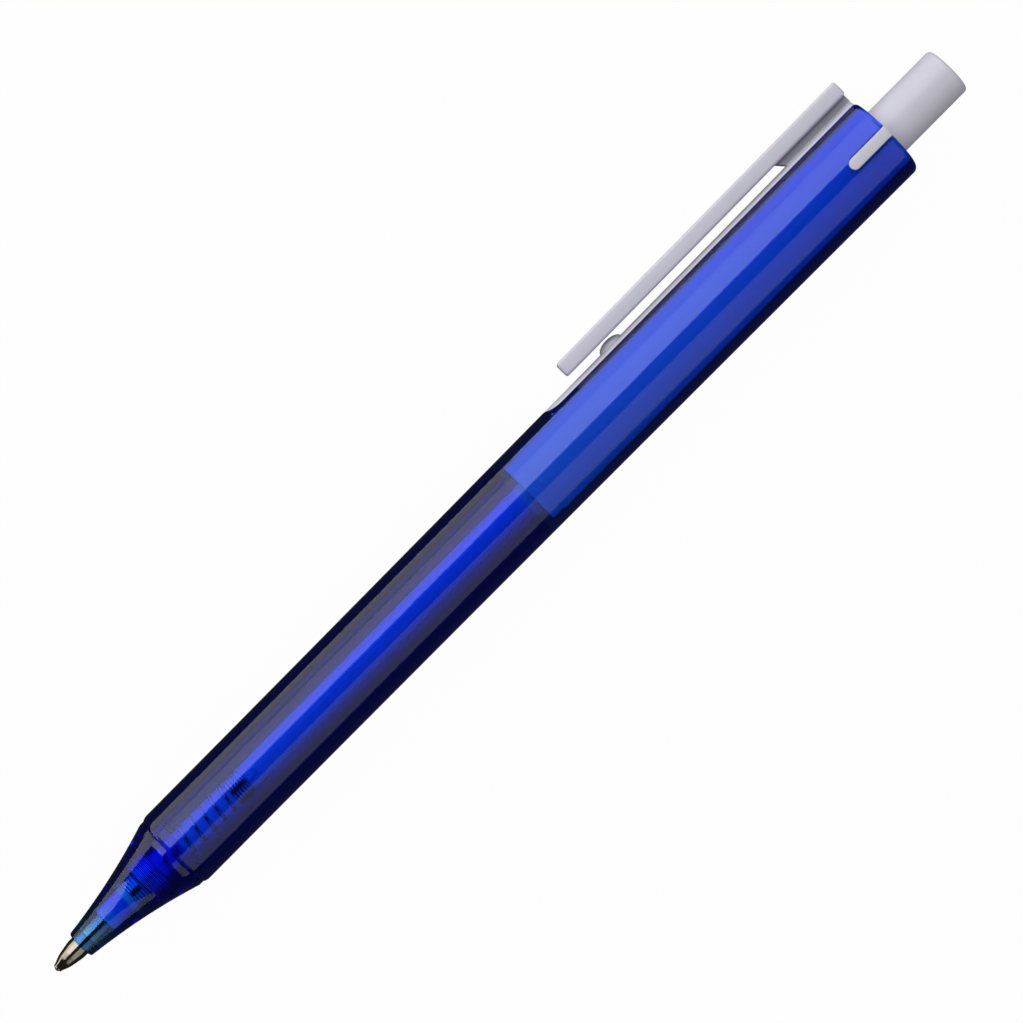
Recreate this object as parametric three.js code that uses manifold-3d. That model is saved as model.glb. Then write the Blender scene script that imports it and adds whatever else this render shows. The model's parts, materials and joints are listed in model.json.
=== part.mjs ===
// A retractable ballpoint pen with a translucent blue barrel and nose, lying on its side.
// Millimetres. The pen is built along its own axis, +X towards the push button, with the clip on +Y,
// and is then rolled about that axis onto the clip and the barrel, with +Z up.
// A station is a distance back along the pen from the tip of the ball.

import * as THREE from "three";
import { mergeVertices } from "three/addons/utils/BufferGeometryUtils.js";
import Module from "manifold-3d";

const wasm = await Module();
wasm.setup();

// Roundness of turned pieces, in sides
const fineSides = 48;
const plainSides = 24;
const arcSteps = 3;

// Clearances
const seamGap = 0.15;
const slideFit = 0.15;
const seatGap = 0.3;
// How far a cutting or joining body runs past the face that it crosses
const cutPast = 1;

// Refill
const refillLength = 107;
const tubeRadius = 1.575;
const tubeWall = 0.42;
const ballRadius = 0.5;
const ballPlay = 0.05;
const ballShown = 0.28;
const lipWall = 0.07;
const lipGrip = 0.02;
const nibLength = 7.85;
const nibRadius = 1.27;
const nibConeLength = 3.2;
const nibStemRadius = 0.6;
const nibStemLength = 3.2;
const inkChannelRadius = 0.3;
const holderRadius = 1.53;
const holderLength = 4.5;
const holderStemRadius = 1.0;
const holderStemLength = 4;
const followerLength = 3;
const airLength = 7.75;
const earReach = 2.1;
const earThickness = 0.9;
const earLength = 1.2;

// Spring
const springWire = 0.38;
const springLength = 18.75;
const springFit = 0.02;
const springEndPitch = 0.86;
const springEndCurls = 2;
const springOpenCurls = 9;
const springStartTurn = 0.38;
const springSteps = 8;
const wireSides = 5;

// Nose cone
const nibReach = 4;
const noseLength = 14.95;
const mouthWall = 0.35;
const mouthEdge = 0.25;
const mouthBoreLength = 1.33;
const springSeatDepth = 7.7;
const noseWaist = 2.65;
const noseShoulderLength = 0.7;
const spigotLength = 1.55;
const spigotWall = 0.85;
const ridgeCount = 9;
const ridgePitch = 0.33;
const ridgeHeight = 0.12;
const ridgeStart = 10;

// Push button, with the ribbed plunger that is one piece with it
const buttonRadius = 3.1;
const buttonReach = 10.3;
const buttonEdge = 0.45;
const buttonGuideLength = 12.15;
const plungerRadius = 2.3;
const plungerFrontLength = 1.2;
const plungerFinLength = 2.6;
const toothDepth = 0.7;
const toothCount = 8;

// Cam rotor
const rotorSocketDepth = 2;
const rotorFinLength = 2.8;
const rotorPinRadius = 1.0;
const rotorPinLength = 2.6;
const finWidth = 1.2;
const finCount = 4;

// Travel of the refill and button
const retractTravel = 5;
const overPress = 1.5;

// Guide sleeve
const sleeveLength = 57.45;
const sleeveWall = 0.9;
const camWall = 0.6;
const collarLength = 1.65;
const collarStep = 0.13;
const sleeveInset = 0.25;
const keyWidth = 1.5;
const keyLength = 6.1;
const keyInset = 0.1;

// Barrel
const lowerWall = 1.3;
const boreStep = 0.55;
const boreStepSetback = 1.05;
const rimWall = 1.18;
const rimEdge = 0.7;
const frontEdge = 0.12;
const swellPower = 1.7;
const clipSlotLength = 49.75;
const clipSlotWidth = 4.8;

// Clip
const armLength = 44.9;
const armWidth = 4.2;
const armThickness = 1.88;
const armFrontGap = 0.69;
const armRearGap = 0.93;
const armBevel = 0.3;
const armRearRound = 0.8;
const armRearInset = 0.05;
const stripRearInset = 0.28;
const stripRearSlope = 0.5;
const stripSteps = 5;
const webWidth = 1.8;
const webFrontSetback = 11.25;
const webSlant = 1.05;
const webRearInset = 0.2;
const bumpLength = 3.3;
const bumpGap = 0.24;
const bumpWidth = 2;
const bumpSetback = 6;
const bumpSink = 0.15;

// Stations of the nose
const mouthAt = nibReach;
const seamAt = mouthAt + noseLength;
const springSeatAt = mouthAt + springSeatDepth;
const spigotEndAt = seamAt + spigotLength;
const barrelFrontAt = seamAt + seamGap;

// Stations of the refill
const holderFrontAt = nibLength + seatGap;
const holderShoulderAt = holderFrontAt + holderLength;
const tubeFrontAt = holderShoulderAt + seatGap;
const springFrontAt = springSeatAt + seatGap;
const earsAt = springFrontAt + springLength + seatGap;
const inkFrontAt = tubeFrontAt + holderStemLength + seatGap;
const followerFrontAt = refillLength - airLength - followerLength;
const inkLength = followerFrontAt - slideFit - inkFrontAt;

// Stations of the mechanism
const rotorFrontAt = refillLength - rotorSocketDepth;
const rotorFinsAt = refillLength + 2 * seatGap;
const rotorRearAt = rotorFinsAt + rotorFinLength;
const plungerFrontAt = rotorRearAt + seatGap;
const plungerFinsAt = plungerFrontAt + plungerFrontLength;
const plungerFinsEndAt = plungerFinsAt + plungerFinLength;
const camShoulderAt = plungerFinsEndAt + retractTravel + seatGap;
const buttonFrontAt = camShoulderAt + overPress + seatGap;
const rimAt = buttonFrontAt + buttonGuideLength;
const buttonEndAt = rimAt + buttonReach;
const sleeveEndAt = rimAt - sleeveInset;
const sleeveFrontAt = rimAt - sleeveLength;
const boreStepAt = sleeveFrontAt - boreStepSetback;

// Radii, worked out from the button outwards
const buttonBore = buttonRadius + slideFit;
const sleeveRadius = buttonBore + sleeveWall;
const camBore = sleeveRadius - camWall;
const finRadius = camBore - slideFit;
const ribRadius = plungerRadius + slideFit;
const rotorRadius = plungerRadius - 0.1;
const upperBore = sleeveRadius + slideFit;
const rimRadius = upperBore + rimWall;
const lowerBore = upperBore - boreStep;
const frontRadius = lowerBore + lowerWall;
const spigotRadius = lowerBore - slideFit;
const spigotBore = spigotRadius - spigotWall;

// Radii, worked out from the refill outwards
const tubeBore = tubeRadius - tubeWall;
const mouthBore = nibRadius + slideFit;
const mouthRadius = mouthBore + mouthWall;
const holderBore = Math.max(holderRadius, nibRadius) + slideFit;
// A curl has straight steps, and their middles, which lie nearest the axis, clear the tube.
const springMean = (tubeRadius + springFit + springWire / 2) / Math.cos(Math.PI / springSteps);
const springPocket = springMean + springWire / 2 + slideFit;
const ridgeBore = springPocket + seatGap;

// Stations and heights of the clip
const slotFrontAt = rimAt - clipSlotLength;
const armRearAt = rimAt - armRearInset;
const armFrontAt = armRearAt - armLength;
const webFrontAt = rimAt - webFrontSetback;
const webRearAt = rimAt - webRearInset;
const bumpAt = armFrontAt + bumpSetback;

// The pen rests on the rim of the barrel and on the lower edge of the clip's rear end.
const clipEdgeHeight = rimRadius + armRearGap + armThickness - armBevel;
const restRoll =
  Math.asin(rimRadius / Math.hypot(clipEdgeHeight, armWidth / 2)) -
  Math.atan2(armWidth / 2, clipEdgeHeight);

// Height of the arm's underside over the pen's axis: it rises a little towards the rear.
function armUnderside(station) {
  const share = (station - armFrontAt) / armLength;
  return rimRadius + armFrontGap + (armRearGap - armFrontGap) * share;
}

// The barrel swells slowly at first and faster towards the rim.
function barrelRadius(station) {
  const share = (station - barrelFrontAt) / (rimAt - barrelFrontAt);
  return frontRadius + (rimRadius - frontRadius) * Math.max(share, 0) ** swellPower;
}

// A closed geometry as a manifold solid.
function solidOf(geometry) {
  const bare = geometry.clone();
  bare.deleteAttribute("normal");
  bare.deleteAttribute("uv");
  const merged = mergeVertices(bare, 1e-4);
  return new wasm.Manifold(
    new wasm.Mesh({
      numProp: 3,
      vertProperties: new Float32Array(merged.attributes.position.array),
      triVerts: new Uint32Array(merged.index.array),
    }),
  );
}

// A manifold solid as a named mesh with its own material.
function meshOf(name, solid, color, roughness, metalness = 0) {
  const raw = solid.getMesh();
  const geometry = new THREE.BufferGeometry();
  geometry.setAttribute("position", new THREE.BufferAttribute(raw.vertProperties, 3));
  geometry.setIndex(new THREE.BufferAttribute(raw.triVerts, 1));
  const flat = geometry.toNonIndexed();
  flat.computeVertexNormals();
  const mesh = new THREE.Mesh(flat, new THREE.MeshStandardMaterial({ color, roughness, metalness }));
  mesh.name = name;
  return mesh;
}

// A profile of [station, radius] points turned about the pen's axis. It starts and ends on the axis.
function turned(profile, sides = plainSides) {
  const points = profile.map(([station, radius]) => new THREE.Vector2(radius, station));
  return solidOf(new THREE.LatheGeometry(points, sides).rotateZ(-Math.PI / 2));
}

// A turned wall between an outer and an inner profile, both listed from front to rear.
function turnedWall(outer, inner, sides = plainSides) {
  return turned([...outer, ...inner.toReversed(), outer[0]], sides);
}

// A plain rod between two stations.
function rod(front, rear, radius, sides = plainSides) {
  return turned([[front, 0], [front, radius], [rear, radius], [rear, 0]], sides);
}

// A quarter round between two profile points, bulging towards a corner point.
function roundedCorner(start, corner, end) {
  const curve = new THREE.QuadraticBezierCurve(
    new THREE.Vector2(...start),
    new THREE.Vector2(...corner),
    new THREE.Vector2(...end),
  );
  return curve.getPoints(arcSteps).map((point) => [point.x, point.y]);
}

// A box by its two corners.
function block(low, high) {
  const size = high.map((value, axis) => value - low[axis]);
  const middle = high.map((value, axis) => (value + low[axis]) / 2);
  return solidOf(new THREE.BoxGeometry(...size).translate(...middle));
}

// A bar with one round end at the front, seen along Z and reaching from minus to plus halfDepth.
function roundEndedBar(front, rear, width, halfDepth) {
  const shape = new THREE.Shape();
  shape.moveTo(rear, -width / 2);
  shape.lineTo(rear, width / 2);
  shape.absarc(front + width / 2, 0, width / 2, Math.PI / 2, (3 * Math.PI) / 2, false);
  const geometry = new THREE.ExtrudeGeometry(shape, {
    depth: 2 * halfDepth,
    bevelEnabled: false,
    curveSegments: 6,
  });
  return geometry.translate(0, 0, -halfDepth);
}

// The volume of the clip's slot, drawn smaller all round by the given inset.
function clipSlot(inset) {
  const bar = roundEndedBar(slotFrontAt + inset, rimAt + cutPast, clipSlotWidth - 2 * inset, rimRadius);
  return solidOf(bar.rotateX(-Math.PI / 2).translate(0, rimRadius + spigotRadius, 0));
}

// The volume of the two key slots, one each side of the pen.
function keySlots(inset) {
  return solidOf(roundEndedBar(rimAt - keyLength + inset, rimAt + cutPast, keyWidth - 2 * inset, 2 * rimRadius));
}

// Fins that stand out from the axis, turned so that the first one points along +Y.
function fins(front, rear, radius) {
  const blades = [];
  for (let turn = 0; turn < finCount / 2; turn += 1) {
    const angle = (turn * 2 * Math.PI) / finCount;
    const blade = new THREE.BoxGeometry(rear - front, 2 * radius, finWidth);
    blades.push(solidOf(blade.translate((front + rear) / 2, 0, 0).rotateX(angle)));
  }
  return blades.reduce((joined, blade) => joined.add(blade));
}

// Notches that leave a crown of teeth on an end face at the given station.
function crownNotches(station, radius) {
  let notches = null;
  for (let tooth = 0; tooth < toothCount; tooth += 1) {
    const side = toothDepth * Math.SQRT2;
    const notch = new THREE.BoxGeometry(side, radius, side);
    notch.rotateY(Math.PI / 4).translate(station, radius, 0);
    const turnedNotch = solidOf(notch.rotateX(((tooth + 0.5) * 2 * Math.PI) / toothCount));
    notches = notches ? notches.add(turnedNotch) : turnedNotch;
  }
  return notches;
}

// Station of the spring's wire after some turns: closely wound ends, and open curls between them.
function springStation(turns) {
  const first = springFrontAt + springWire / 2;
  const openLength = springLength - springWire - 2 * springEndCurls * springEndPitch;
  const intoOpen = Math.min(Math.max(turns - springEndCurls, 0), springOpenCurls);
  return first + (turns - intoOpen) * springEndPitch + (intoOpen * openLength) / springOpenCurls;
}

// Points of the spring's wire, one for each step of a curl. It winds the left-handed way.
function springPath() {
  const steps = (2 * springEndCurls + springOpenCurls) * springSteps;
  return Array.from({ length: steps + 1 }, (_, step) => {
    const angle = (springStartTurn + step / springSteps) * 2 * Math.PI;
    return new THREE.Vector3(
      springStation(step / springSteps),
      springMean * Math.cos(angle),
      -springMean * Math.sin(angle),
    );
  });
}

// The least free gap between one curl of the spring and the next, between points of the wire.
function springSelfGap(path) {
  let least = Infinity;
  for (let from = 0; from < path.length; from += 1) {
    for (let to = from + springSteps / 2; to < path.length; to += 1) {
      least = Math.min(least, path[from].distanceTo(path[to]));
    }
  }
  return least - springWire;
}

// One unbroken round wire through the points, closed by a flat face at each end.
function springWireSolid(path) {
  const positions = [];
  const faces = [];
  path.forEach((centre, step) => {
    const ahead = path[Math.min(step + 1, path.length - 1)];
    const behind = path[Math.max(step - 1, 0)];
    const along = ahead.clone().sub(behind).normalize();
    const outward = new THREE.Vector3(0, centre.y, centre.z).normalize();
    const across = new THREE.Vector3().crossVectors(along, outward).normalize();
    outward.crossVectors(across, along);
    for (let side = 0; side < wireSides; side += 1) {
      const angle = (side * 2 * Math.PI) / wireSides;
      const point = centre.clone();
      point.addScaledVector(outward, (springWire / 2) * Math.cos(angle));
      point.addScaledVector(across, (springWire / 2) * Math.sin(angle));
      positions.push(...point);
    }
  });
  const corner = (step, side) => step * wireSides + (side % wireSides);
  for (let step = 0; step < path.length - 1; step += 1) {
    for (let side = 0; side < wireSides; side += 1) {
      faces.push(corner(step, side), corner(step, side + 1), corner(step + 1, side));
      faces.push(corner(step, side + 1), corner(step + 1, side + 1), corner(step + 1, side));
    }
  }
  for (let side = 1; side < wireSides - 1; side += 1) {
    faces.push(corner(0, 0), corner(0, side + 1), corner(0, side));
    faces.push(corner(path.length - 1, 0), corner(path.length - 1, side), corner(path.length - 1, side + 1));
  }
  const geometry = new THREE.BufferGeometry();
  geometry.setAttribute("position", new THREE.Float32BufferAttribute(positions, 3));
  geometry.setIndex(faces);
  return solidOf(geometry);
}

// The writing ball, loose in its socket.
function writingBall() {
  const ball = new THREE.SphereGeometry(ballRadius, 16, 10).translate(ballRadius, 0, 0);
  return meshOf("writing_ball", solidOf(ball), 0xb9bcc4, 0.15, 1);
}

// The metal nib: a cone with the ball's socket, a round shank, and a stem that presses into the holder.
function nib() {
  const socketRadius = ballRadius + ballPlay;
  const socketEndAt = 2 * ballRadius + ballPlay;
  const stemEndAt = nibLength + nibStemLength;
  const outer = [
    [ballShown, ballRadius + lipWall],
    [ballRadius, socketRadius + 2 * lipWall],
    [0.42 * nibConeLength, 0.73 * nibRadius],
    [0.75 * nibConeLength, 0.89 * nibRadius],
    [nibConeLength, nibRadius],
    [nibLength, nibRadius],
    [nibLength, nibStemRadius],
    [stemEndAt, nibStemRadius],
  ];
  const inner = [
    [ballShown, ballRadius - lipGrip],
    [ballRadius, socketRadius],
    [socketEndAt, socketRadius],
    [socketEndAt, inkChannelRadius],
    [stemEndAt, inkChannelRadius],
  ];
  return meshOf("nib", turnedWall(outer, inner), 0xa7a39b, 0.3, 1);
}

// The plastic holder between the nib and the ink tube.
function tipHolder() {
  const bore = nibStemRadius + slideFit;
  const endAt = tubeFrontAt + holderStemLength;
  const outer = [
    [holderFrontAt, holderRadius],
    [holderShoulderAt, holderRadius],
    [holderShoulderAt, Math.min(holderStemRadius, tubeBore - slideFit)],
    [endAt, Math.min(holderStemRadius, tubeBore - slideFit)],
  ];
  return meshOf("tip_holder", turnedWall(outer, [[holderFrontAt, bore], [endAt, bore]]), 0xdbe3f6, 0.4);
}

// The ink tube, with the two pinched ears that the spring pushes on.
function refillTube() {
  const wall = turnedWall(
    [[tubeFrontAt, tubeRadius], [refillLength, tubeRadius]],
    [[tubeFrontAt, tubeBore], [refillLength, tubeBore]],
  );
  const ears = block([earsAt, -earThickness / 2, -earReach], [earsAt + earLength, earThickness / 2, earReach]);
  const bore = rod(earsAt - cutPast, earsAt + earLength + cutPast, tubeRadius - tubeWall / 2);
  return meshOf("refill_tube", wall.add(ears.subtract(bore)), 0xdfe6f6, 0.35);
}

// What fills a stretch of the ink tube.
function tubeFilling(name, front, length, color) {
  return meshOf(name, rod(front, front + length, tubeBore - slideFit), color, 0.3);
}

// The cam rotor: it caps the refill's tail, and its fins stop on the sleeve's ribs or run between them.
function camRotor() {
  const body = rod(rotorFrontAt, rotorRearAt, rotorRadius);
  const socket = rod(rotorFrontAt - cutPast, refillLength + seatGap, tubeRadius + slideFit);
  const pin = rod(rotorRearAt - cutPast, rotorRearAt + rotorPinLength, rotorPinRadius);
  const solid = body
    .add(fins(rotorFinsAt, rotorRearAt, finRadius))
    .subtract(crownNotches(rotorRearAt, finRadius))
    .add(pin)
    .subtract(socket);
  return meshOf("cam_rotor", solid, 0xe8e9ee, 0.5);
}

// The push button and, in one piece with it, the toothed plunger that turns the rotor.
function pushButton() {
  const edge = roundedCorner(
    [buttonEndAt - buttonEdge, buttonRadius],
    [buttonEndAt, buttonRadius],
    [buttonEndAt, buttonRadius - buttonEdge],
  );
  const stem = turned(
    [
      [plungerFrontAt, 0],
      [plungerFrontAt, plungerRadius],
      [buttonFrontAt, plungerRadius],
      [buttonFrontAt, buttonRadius],
      ...edge,
      [buttonEndAt, 0],
    ],
    fineSides,
  );
  const boreEndAt = rotorRearAt + rotorPinLength + 2 * seatGap;
  const bore = rod(plungerFrontAt - cutPast, boreEndAt, rotorPinRadius + seatGap);
  const solid = stem
    .add(fins(plungerFinsAt, plungerFinsEndAt, finRadius))
    .subtract(crownNotches(plungerFrontAt, finRadius))
    .subtract(bore);
  return meshOf("push_button", solid, 0xc6c4d4, 0.4);
}

// Ribs inside the sleeve that leave grooves for the fins of the rotor and the plunger.
function sleeveRibs() {
  const ribs = turnedWall(
    [[plungerFrontAt, camBore + camWall / 2], [camShoulderAt + slideFit, camBore + camWall / 2]],
    [[plungerFrontAt, ribRadius], [camShoulderAt + slideFit, ribRadius]],
    fineSides,
  );
  let grooves = null;
  for (let turn = 0; turn < finCount / 2; turn += 1) {
    const angle = (turn * 2 * Math.PI) / finCount;
    const length = camShoulderAt - plungerFrontAt + 2 * cutPast;
    const groove = new THREE.BoxGeometry(length, 2 * camBore, finWidth + 2 * seatGap);
    const placed = solidOf(groove.translate(plungerFrontAt - cutPast + length / 2, 0, 0).rotateX(angle));
    grooves = grooves ? grooves.add(placed) : placed;
  }
  return ribs.subtract(grooves);
}

// The guide sleeve inside the upper barrel: collar, ribs for the mechanism, and a key each side.
function guideSleeve() {
  const collarRadius = sleeveRadius - collarStep;
  const collarEndAt = sleeveFrontAt + collarLength;
  const wall = turnedWall(
    [
      [sleeveFrontAt, collarRadius],
      [collarEndAt, collarRadius],
      [collarEndAt, sleeveRadius],
      [sleeveEndAt, sleeveRadius],
    ],
    [
      [sleeveFrontAt, camBore],
      [camShoulderAt, camBore],
      [camShoulderAt, buttonBore],
      [sleeveEndAt, buttonBore],
    ],
    fineSides,
  );
  const keyRing = turnedWall(
    [[rimAt - 2 * keyLength, rimRadius - keyInset], [rimAt - keyInset, rimRadius - keyInset]],
    [[rimAt - 2 * keyLength, sleeveRadius - sleeveWall / 2], [rimAt - keyInset, sleeveRadius - sleeveWall / 2]],
    fineSides,
  );
  const solid = wall.add(sleeveRibs()).add(keyRing.intersect(keySlots(slideFit)));
  return meshOf("guide_sleeve", solid, 0xc6c4d4, 0.45);
}

// The clip's base: the strip that fills the barrel's slot, with the round bump that grips a pocket.
function clipStrip() {
  const slopeAt = sleeveEndAt - stripRearSlope;
  const outer = [];
  for (let step = 0; step <= stripSteps; step += 1) {
    const station = slotFrontAt + ((slopeAt - slotFrontAt) * step) / stripSteps;
    outer.push([station, barrelRadius(station)]);
  }
  outer.push([sleeveEndAt, barrelRadius(sleeveEndAt) - stripRearInset]);
  const ring = turnedWall(outer, [[slotFrontAt, upperBore], [sleeveEndAt, upperBore]], fineSides);
  const strip = ring.intersect(clipSlot(slideFit));
  const top = armUnderside(bumpAt) - bumpGap;
  const base = barrelRadius(bumpAt) - bumpSink;
  const shape = new THREE.Shape();
  shape.moveTo(bumpAt - bumpLength / 2, upperBore + sleeveWall / 2);
  shape.lineTo(bumpAt + bumpLength / 2, upperBore + sleeveWall / 2);
  shape.lineTo(bumpAt + bumpLength / 2, base);
  shape.bezierCurveTo(
    bumpAt + bumpLength / 2,
    top + (top - base) / 3,
    bumpAt - bumpLength / 2,
    top + (top - base) / 3,
    bumpAt - bumpLength / 2,
    base,
  );
  const bump = new THREE.ExtrudeGeometry(shape, { depth: bumpWidth, bevelEnabled: false, curveSegments: 8 });
  return strip.add(solidOf(bump.translate(0, 0, -bumpWidth / 2)));
}

// The clip's whole arm, a flat bar with bevelled edges and a rounded rear end.
function clipArmBar() {
  const front = armUnderside(armFrontAt);
  const rear = armUnderside(armRearAt);
  const shape = new THREE.Shape();
  shape.moveTo(armFrontAt, front);
  shape.lineTo(armRearAt, rear);
  shape.lineTo(armRearAt, rear + armThickness - armRearRound);
  shape.quadraticCurveTo(armRearAt, rear + armThickness, armRearAt - armRearRound, rear + armThickness);
  shape.lineTo(armFrontAt, front + armThickness);
  const bar = new THREE.ExtrudeGeometry(shape, {
    depth: armWidth - 2 * armBevel,
    bevelThickness: armBevel,
    bevelSize: armBevel,
    bevelOffset: -armBevel,
    bevelSegments: 1,
    curveSegments: 4,
  });
  return solidOf(bar.translate(0, 0, armBevel - armWidth / 2));
}

// The web that joins the rear of the arm to the strip, with a slanted front.
function clipWeb() {
  const shape = new THREE.Shape();
  shape.moveTo(webFrontAt + webSlant, upperBore + sleeveWall / 2);
  shape.lineTo(webRearAt, upperBore + sleeveWall / 2);
  shape.lineTo(webRearAt, armUnderside(webRearAt) + armThickness / 2);
  shape.lineTo(webFrontAt, armUnderside(webFrontAt) + armThickness / 2);
  const web = new THREE.ExtrudeGeometry(shape, { depth: webWidth, bevelEnabled: false });
  return solidOf(web.translate(0, 0, -webWidth / 2));
}

// The part of the space around the clip between two stations.
function clipSpan(front, rear) {
  const reach = 2 * (rimRadius + armRearGap + armThickness);
  return block([front, 0, -reach], [rear, reach, reach]);
}

// The fixed rear of the clip.
function clipRoot() {
  const rearArm = clipArmBar().intersect(clipSpan(webFrontAt, rimAt));
  return meshOf("clip_root", clipStrip().add(clipWeb()).add(rearArm), 0xc6c4d4, 0.4);
}

// The free arm of the clip, which springs away from the barrel.
function clipArm() {
  const freeArm = clipArmBar().intersect(clipSpan(armFrontAt - cutPast, webFrontAt - seatGap));
  return meshOf("clip_arm", freeArm, 0xc6c4d4, 0.4);
}

// The nose cone: a hollow flare with the nib's mouth, the spring's seat, fine inner ridges and a spigot.
function noseCone() {
  const shoulderRadius = frontRadius - 2 * frontEdge;
  const edge = Math.min(mouthEdge, 0.7 * mouthWall);
  const flare = new THREE.QuadraticBezierCurve(
    new THREE.Vector2(mouthAt + edge, mouthRadius),
    new THREE.Vector2(mouthAt + noseLength / 2, noseWaist),
    new THREE.Vector2(seamAt - noseShoulderLength, shoulderRadius),
  );
  const outer = [
    [mouthAt, mouthBore],
    [mouthAt, mouthRadius - edge],
    ...flare.getPoints(12).map((point) => [point.x, point.y]),
    [seamAt, shoulderRadius],
    [seamAt, spigotRadius],
    [spigotEndAt, spigotRadius],
  ];
  const ridges = [];
  for (let ridge = 0; ridge < ridgeCount; ridge += 1) {
    const station = mouthAt + ridgeStart + ridge * ridgePitch;
    ridges.push([station, ridgeBore], [station + ridgePitch / 2, ridgeBore - ridgeHeight]);
  }
  const ridgesEndAt = mouthAt + ridgeStart + ridgeCount * ridgePitch;
  const inner = [
    [mouthAt + mouthBoreLength, mouthBore],
    [mouthAt + mouthBoreLength, holderBore],
    [springSeatAt, holderBore],
    [springSeatAt, springPocket],
    [mouthAt + ridgeStart - ridgePitch, springPocket],
    ...ridges,
    [ridgesEndAt, ridgeBore],
    [seamAt, Math.max(spigotBore, ridgeBore)],
    [spigotEndAt, Math.max(spigotBore, ridgeBore)],
  ];
  return meshOf("nose_cone", turnedWall(outer, inner, fineSides), 0x24349c, 0.12);
}

// The barrel: a long slightly swelling tube with a step in its bore, the clip's slot and two key slots.
function barrel() {
  const steps = 10;
  const swell = [];
  for (let step = 0; step <= steps; step += 1) {
    const first = barrelFrontAt + 4 * frontEdge;
    const station = first + ((rimAt - rimEdge - first) * step) / steps;
    swell.push([station, barrelRadius(station)]);
  }
  const outer = [
    [barrelFrontAt, frontRadius - frontEdge],
    ...swell,
    ...roundedCorner([rimAt - rimEdge, rimRadius], [rimAt, rimRadius], [rimAt, rimRadius - rimEdge]),
  ];
  const inner = [
    [barrelFrontAt, lowerBore],
    [boreStepAt, lowerBore],
    [boreStepAt, upperBore],
    [rimAt, upperBore],
  ];
  const solid = turnedWall(outer, inner, fineSides).subtract(clipSlot(0)).subtract(keySlots(0));
  return meshOf("barrel", solid, 0x24349c, 0.12);
}

// The pieces that move together stand in groups of their own.
function assembly() {
  const path = springPath();
  console.log(`spring: least gap to itself ${springSelfGap(path).toFixed(2)} mm, wire ${springWire} mm`);

  const housing = new THREE.Group();
  housing.add(barrel(), guideSleeve(), clipRoot(), noseCone());
  housing.add(meshOf("spring", springWireSolid(path), 0x9a9ca4, 0.3, 1));

  const refill = new THREE.Group();
  refill.add(refillTube(), tipHolder(), nib(), writingBall(), camRotor());
  refill.add(tubeFilling("ink_column", inkFrontAt, inkLength, 0x1a2f9e));
  refill.add(tubeFilling("ink_follower", followerFrontAt, followerLength, 0xd8dcc8));

  const pen = new THREE.Group();
  pen.add(housing, refill, pushButton(), clipArm());
  return pen;
}

// The pen is rolled over onto its clip and stands on the ground plane, centred over the origin.
const pen = assembly();
pen.rotation.x = -restRoll;
pen.updateMatrixWorld(true);
const bounds = new THREE.Box3().setFromObject(pen, true);
const middle = bounds.getCenter(new THREE.Vector3());
pen.position.set(-middle.x, -middle.y, -bounds.min.z);

const part = new THREE.Group();
part.add(pen);

export default part;
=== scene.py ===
"""Dresses a retractable ballpoint pen: a clear blue barrel and nose, white works inside, a grey clip and button.

Every shape is worked out in the pen's own directions: the station, in metres back from the tip of the ball,
then the height towards the clip, then the side that faces the camera. to_row() turns these into the row frame.
"""

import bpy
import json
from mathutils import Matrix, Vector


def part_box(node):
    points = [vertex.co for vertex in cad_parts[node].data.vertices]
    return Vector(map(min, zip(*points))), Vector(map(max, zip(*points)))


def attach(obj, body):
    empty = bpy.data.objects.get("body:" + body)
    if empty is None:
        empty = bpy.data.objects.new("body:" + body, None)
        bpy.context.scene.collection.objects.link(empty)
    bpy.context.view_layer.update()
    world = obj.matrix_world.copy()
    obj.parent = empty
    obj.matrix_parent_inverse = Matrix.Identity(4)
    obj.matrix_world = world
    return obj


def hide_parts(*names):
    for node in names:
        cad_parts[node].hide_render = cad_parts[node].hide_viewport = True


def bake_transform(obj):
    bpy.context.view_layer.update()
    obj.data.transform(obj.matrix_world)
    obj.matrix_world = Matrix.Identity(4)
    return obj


bl_info = {
    "name": "Retractable ballpoint pen",
    "version": (1, 0, 0),
    "blender": (4, 5, 0),
    "location": "View3D > Sidebar > Pen",
    "description": "Builds the pieces, finishes and stage of a retractable ballpoint pen",
    "category": "Object",
}

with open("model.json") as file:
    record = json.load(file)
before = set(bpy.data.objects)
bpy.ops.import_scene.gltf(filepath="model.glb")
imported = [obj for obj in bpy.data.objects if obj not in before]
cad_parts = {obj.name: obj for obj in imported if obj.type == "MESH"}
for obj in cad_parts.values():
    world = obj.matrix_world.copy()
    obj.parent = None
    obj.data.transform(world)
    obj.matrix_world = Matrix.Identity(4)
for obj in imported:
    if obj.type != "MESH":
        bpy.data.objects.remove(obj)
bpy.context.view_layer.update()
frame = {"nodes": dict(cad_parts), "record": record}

import json
import math

import bpy
import numpy as np
from bpy.props import FloatProperty, FloatVectorProperty, IntProperty, PointerProperty
from mathutils import Matrix, Vector

MM = 0.001
FAR = 1.0  # metres, beyond any part of the pen
SWELL_POWER = 1.7
POLE_GAP = 0.02  # radians left open at a pole, and closed by a small flat face
KEY_TURNS = (math.pi / 2, -math.pi / 2)  # the keys' places round the axis, from the clip's side

RECORD = frame["record"]
MOUNTS = {mount["name"]: mount for mount in RECORD["mounts"]}
JOINTS = {joint["name"]: joint for joint in RECORD["behaviour"]["joints"]}

# The pen's own directions in the row frame: back along the pen, towards the clip, towards the camera
ALONG = np.array([1.0, 0.0, 0.0])
FACING = -np.array(JOINTS["clip_flex"]["axis"], float)
CLIPWARD = np.cross(FACING, ALONG)
BUTTON_END = np.array(MOUNTS["button_end"]["pos_m"], float)
PEN_LENGTH = BUTTON_END[0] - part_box("writing_ball")[0][0]
TIP = BUTTON_END - PEN_LENGTH * ALONG


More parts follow.
